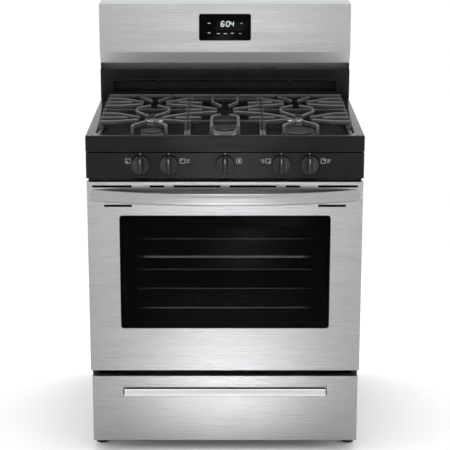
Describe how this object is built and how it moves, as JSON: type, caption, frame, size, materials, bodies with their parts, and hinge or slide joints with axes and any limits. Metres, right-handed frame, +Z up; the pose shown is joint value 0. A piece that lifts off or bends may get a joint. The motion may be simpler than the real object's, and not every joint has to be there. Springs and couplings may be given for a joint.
{
  "type": "freestanding gas range",
  "caption": "Freestanding gas range with sealed burners under cast grates, a windowed oven with a drop-down door, a storage drawer and a backguard with a clock.",
  "frame": {"origin": "on the floor, under the middle of the bounding box", "axes": "+Z up; -Y is the front, where the door and the knobs are; +X is to the right when facing the front"},
  "size_m": [0.759, 0.714, 1.205],
  "materials": {
    "brushed_stainless": "vertically lit, horizontally brushed stainless sheet",
    "handle_stainless": "satin stainless strap",
    "black_enamel": "glossy black porcelain enamel on steel",
    "black_frame_enamel": "black porcelain enamel on steel",
    "black_body_paint": "semi-gloss black paint",
    "oven_enamel": "dark blue-grey speckled porcelain enamel",
    "galvanised_steel": "galvanised sheet steel",
    "cast_iron": "matt black enamelled cast iron",
    "cap_enamel": "satin black enamelled caps",
    "burner_aluminium": "cast aluminium with slots",
    "aluminised_pipe": "aluminised tube",
    "knob_plastic": "black phenolic, satin",
    "stem_steel": "turned steel",
    "chrome_wire": "bright plated wire",
    "black_glass": "black tinted glass",
    "clear_glass": "clear heat-proof glass",
    "circuit_board": "circuit board with its components as one block",
    "black_plastic": "moulded black plastic",
    "brass": "machined brass",
    "gasket_braid": "woven glass-fibre braid"
  },
  "bodies": {
    "range_body": {"backguard_face": "brushed_stainless", "backguard_housing": "black_body_paint", "backguard_vent_panel": "black_enamel", "bake_burner": "aluminised_pipe", "base_frame": "galvanised_steel", "broil_burner": "aluminised_pipe", "burner_cap_center": "cap_enamel", "burner_cap_front_left": "cap_enamel", "burner_cap_front_right": "cap_enamel", "burner_cap_rear_left": "cap_enamel", "burner_cap_rear_right": "cap_enamel", "burner_head_center": "burner_aluminium", "burner_head_front_left": "burner_aluminium", "burner_head_front_right": "burner_aluminium", "burner_head_rear_left": "burner_aluminium", "burner_head_rear_right": "burner_aluminium", "control_panel": "black_enamel", "cooktop_deck": "black_enamel", "display_board": "circuit_board", "display_glass": "black_glass", "front_frame": "black_frame_enamel", "gas_inlet": "brass", "gas_manifold": "aluminised_pipe", "leveling_foot_front_left": "black_plastic", "leveling_foot_front_right": "black_plastic", "leveling_foot_rear_left": "black_plastic", "leveling_foot_rear_right": "black_plastic", "oven_floor": "oven_enamel", "oven_gasket": "gasket_braid", "oven_lamp": "clear_glass", "oven_liner": "oven_enamel", "power_cord_bushing": "black_plastic", "rear_cover": "galvanised_steel", "side_panel_left": "black_body_paint", "side_panel_right": "black_body_paint", "temperature_probe": "chrome_wire"},
    "door": {"door_outer_panel": "brushed_stainless", "door_window_glass": "black_glass", "door_inner_panel": "oven_enamel", "door_inner_glass": "clear_glass", "door_handle": "handle_stainless", "door_hinge_left": "galvanised_steel", "door_hinge_right": "galvanised_steel"},
    "drawer": {"drawer_front": "brushed_stainless", "drawer_pan": "galvanised_steel"},
    "valve_stem_1": {"valve_stem_1": "stem_steel"},
    "knob_1": {"knob_1": "knob_plastic"},
    "valve_stem_2": {"valve_stem_2": "stem_steel"},
    "knob_2": {"knob_2": "knob_plastic"},
    "valve_stem_3": {"valve_stem_3": "stem_steel"},
    "knob_3": {"knob_3": "knob_plastic"},
    "valve_stem_4": {"valve_stem_4": "stem_steel"},
    "knob_4": {"knob_4": "knob_plastic"},
    "valve_stem_5": {"valve_stem_5": "stem_steel"},
    "knob_5": {"knob_5": "knob_plastic"},
    "grate_left": {"grate_left": "cast_iron"},
    "grate_center": {"grate_center": "cast_iron"},
    "grate_right": {"grate_right": "cast_iron"},
    "oven_rack_lower": {"oven_rack_lower": "chrome_wire"},
    "oven_rack_upper": {"oven_rack_upper": "chrome_wire"}
  },
  "joints": [
    {"name": "door_hinge", "type": "hinge", "parent": "range_body", "child": "door", "pos_m": [0, -0.273, 0.258], "axis": [1, 0, 0], "range_deg": [0, 90], "stiffness_Nm_per_rad": 14, "springref_deg": -17.19},
    {"name": "drawer_slide", "type": "slide", "parent": "range_body", "child": "drawer", "axis": [0, -1, 0], "range_m": [0, 0.38]},
    {"name": "knob_1_push", "type": "slide", "parent": "range_body", "child": "valve_stem_1", "axis": [0, 1, 0], "range_m": [0, 0.003], "stiffness_N_per_m": 900},
    {"name": "knob_1_turn", "type": "hinge", "parent": "valve_stem_1", "child": "knob_1", "pos_m": [-0.23, -0.297, 0.836], "axis": [0, -1, 0], "range_deg": [0, 270]},
    {"name": "knob_2_push", "type": "slide", "parent": "range_body", "child": "valve_stem_2", "axis": [0, 1, 0], "range_m": [0, 0.003], "stiffness_N_per_m": 900},
    {"name": "knob_2_turn", "type": "hinge", "parent": "valve_stem_2", "child": "knob_2", "pos_m": [-0.153, -0.297, 0.836], "axis": [0, -1, 0], "range_deg": [0, 270]},
    {"name": "knob_3_push", "type": "slide", "parent": "range_body", "child": "valve_stem_3", "axis": [0, 1, 0], "range_m": [0, 0.003], "stiffness_N_per_m": 900},
    {"name": "knob_3_turn", "type": "hinge", "parent": "valve_stem_3", "child": "knob_3", "pos_m": [0, -0.297, 0.836], "axis": [0, -1, 0], "range_deg": [0, 270]},
    {"name": "knob_4_push", "type": "slide", "parent": "range_body", "child": "valve_stem_4", "axis": [0, 1, 0], "range_m": [0, 0.003], "stiffness_N_per_m": 900},
    {"name": "knob_4_turn", "type": "hinge", "parent": "valve_stem_4", "child": "knob_4", "pos_m": [0.153, -0.297, 0.836], "axis": [0, -1, 0], "range_deg": [0, 270]},
    {"name": "knob_5_push", "type": "slide", "parent": "range_body", "child": "valve_stem_5", "axis": [0, 1, 0], "range_m": [0, 0.003], "stiffness_N_per_m": 900},
    {"name": "knob_5_turn", "type": "hinge", "parent": "valve_stem_5", "child": "knob_5", "pos_m": [0.23, -0.297, 0.836], "axis": [0, -1, 0], "range_deg": [0, 270]},
    {"name": "grate_left_lift", "type": "slide", "parent": "range_body", "child": "grate_left", "axis": [0, 0, 1], "range_m": [0, 0.15]},
    {"name": "grate_center_lift", "type": "slide", "parent": "range_body", "child": "grate_center", "axis": [0, 0, 1], "range_m": [0, 0.15]},
    {"name": "grate_right_lift", "type": "slide", "parent": "range_body", "child": "grate_right", "axis": [0, 0, 1], "range_m": [0, 0.15]},
    {"name": "oven_rack_lower_slide", "type": "slide", "parent": "range_body", "child": "oven_rack_lower", "axis": [0, -1, 0], "range_m": [0, 0.29]},
    {"name": "oven_rack_upper_slide", "type": "slide", "parent": "range_body", "child": "oven_rack_upper", "axis": [0, -1, 0], "range_m": [0, 0.29]}
  ],
  "couplings": [
    {"joint": "oven_rack_lower_slide", "follows": "door_hinge", "m_per_rad": 0.18},
    {"joint": "oven_rack_upper_slide", "follows": "door_hinge", "m_per_rad": 0.18}
  ]
}
